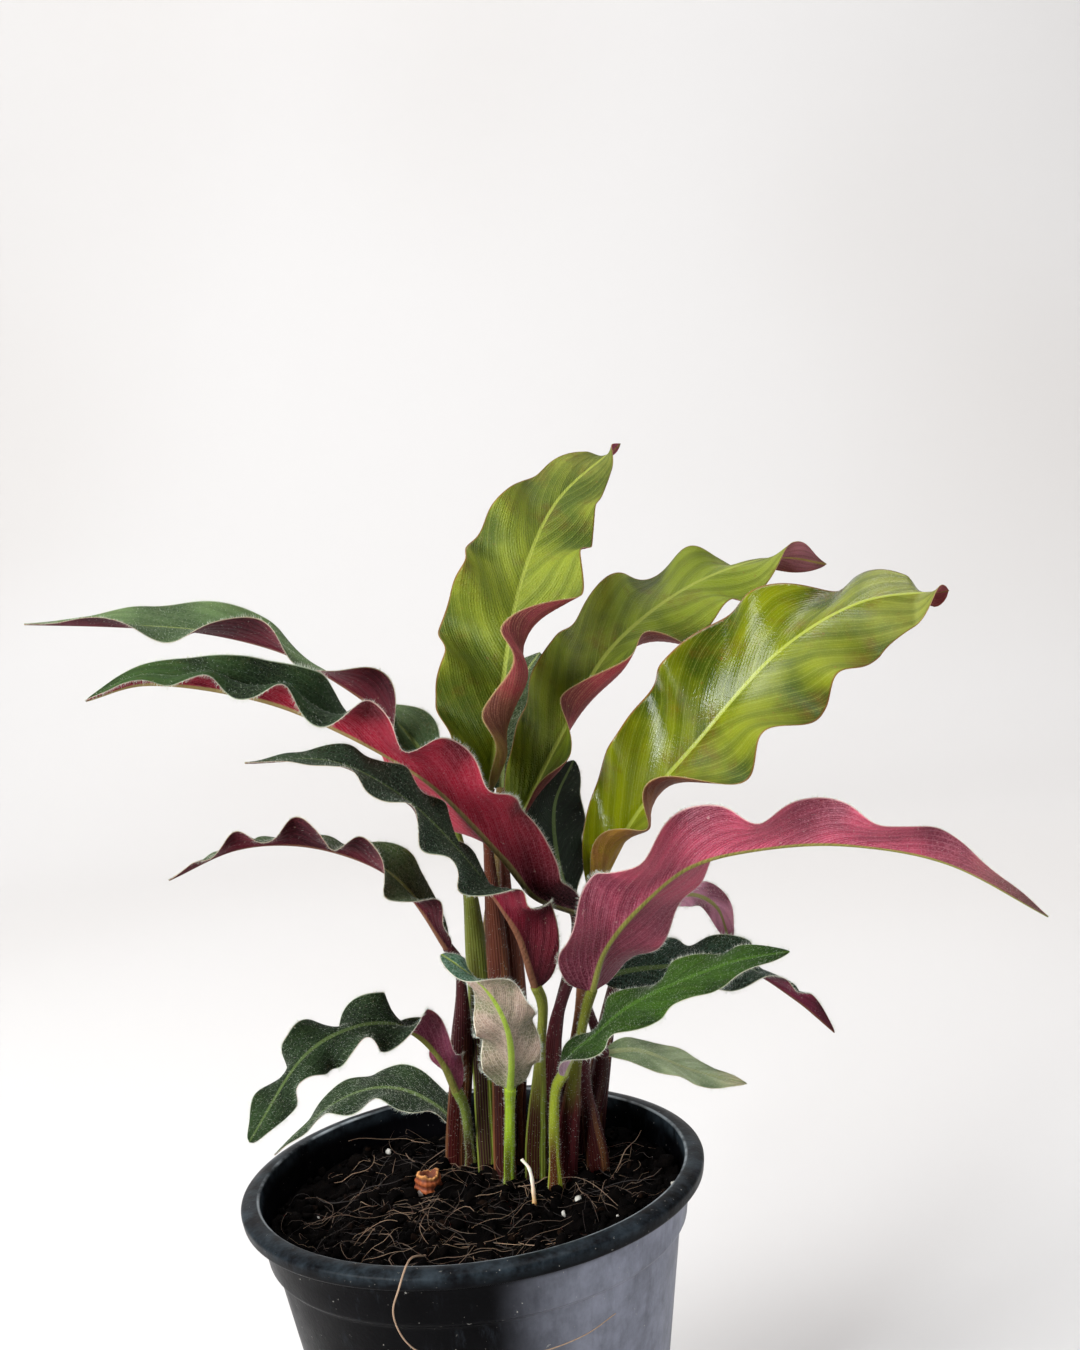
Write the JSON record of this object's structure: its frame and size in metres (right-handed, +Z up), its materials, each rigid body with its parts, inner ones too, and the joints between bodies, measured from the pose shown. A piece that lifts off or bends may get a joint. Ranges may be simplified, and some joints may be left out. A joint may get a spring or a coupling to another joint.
{
  "type": "potted velvet calathea",
  "caption": "Potted velvet calathea: a clump of wavy prayer-plant leaves, yellow-green and dark green above and wine red below, on upright stalks in a round black nursery pot of soil.",
  "frame": {"origin": "centre of the pot's flat base, on the surface it stands on", "axes": "+Z up; +X to the right and +Y away from the viewer, as in the picture"},
  "size_m": [0.2352, 0.126, 0.2873],
  "materials": {
    "pot": "satin",
    "soil": "matte",
    "rhizome": "matte",
    "root": "matte",
    "leaf_young": "satin",
    "leaf_mature": "matte",
    "leaf_greyed": "matte",
    "leaf_wine": "matte",
    "stalk_lime": "satin",
    "stalk_wine": "satin",
    "stalk_tan": "satin"
  },
  "bodies": {
    "root": {"pot": "pot", "soil": "soil", "rhizome_stub": "rhizome", "root_white": "root", "leaf_top_stalk": "stalk_tan", "leaf_top_blade": "leaf_young", "leaf_upper_middle_stalk": "stalk_tan", "leaf_upper_middle_blade": "leaf_young", "leaf_upper_right_stalk": "stalk_tan", "leaf_upper_right_blade": "leaf_young", "leaf_upper_left_stalk": "stalk_lime", "leaf_upper_left_blade": "leaf_mature", "leaf_left_long_stalk": "stalk_wine", "leaf_left_long_blade": "leaf_mature", "leaf_left_middle_stalk": "stalk_lime", "leaf_left_middle_blade": "leaf_mature", "leaf_left_low_stalk": "stalk_wine", "leaf_left_low_blade": "leaf_mature", "leaf_lower_left_stalk": "stalk_lime", "leaf_lower_left_blade": "leaf_mature", "leaf_rim_left_stalk": "stalk_lime", "leaf_rim_left_blade": "leaf_mature", "leaf_right_long_stalk": "stalk_wine", "leaf_right_long_blade": "leaf_mature", "leaf_right_small_stalk": "stalk_wine", "leaf_right_small_blade": "leaf_mature", "leaf_right_dark_stalk": "stalk_wine", "leaf_right_dark_blade": "leaf_mature", "leaf_right_bright_stalk": "stalk_lime", "leaf_right_bright_blade": "leaf_mature", "leaf_right_pale_stalk": "stalk_wine", "leaf_right_pale_blade": "leaf_greyed", "leaf_front_stalk": "stalk_lime", "leaf_front_blade": "leaf_wine", "leaf_back_dark_stalk": "stalk_wine", "leaf_back_dark_blade": "leaf_mature", "leaf_back_grey_stalk": "stalk_tan", "leaf_back_grey_blade": "leaf_greyed"}
  },
  "joints": []
}
